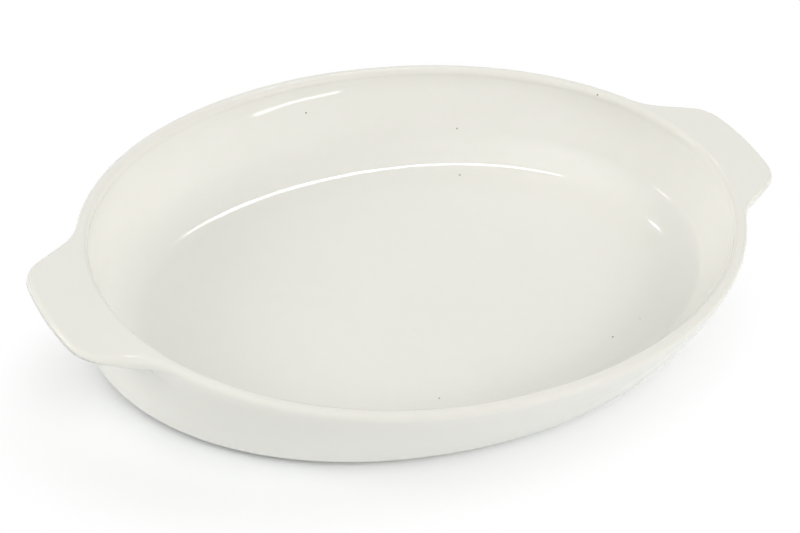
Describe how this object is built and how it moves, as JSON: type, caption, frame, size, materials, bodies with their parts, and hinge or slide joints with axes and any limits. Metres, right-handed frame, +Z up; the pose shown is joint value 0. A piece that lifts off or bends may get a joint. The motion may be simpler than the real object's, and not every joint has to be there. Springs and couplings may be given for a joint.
{
  "type": "gratin dish",
  "caption": "Oval gratin dish of white glazed ceramic, with leaning walls, a rounded lip, flat ears at both ends and an unglazed foot ring.",
  "frame": {"origin": "on the table, under the middle of the dish", "axes": "+Z up, +X along the dish towards the right ear, +Y across it"},
  "size_m": [0.364, 0.224, 0.045],
  "materials": {
    "glazed_body": "glossy warm white glaze",
    "bare_foot": "matt fired clay, wiped free of glaze"
  },
  "bodies": {
    "root": {"basin": "glazed_body", "rim": "glazed_body", "left_ear": "glazed_body", "right_ear": "glazed_body", "foot_ring": "bare_foot"}
  },
  "joints": []
}
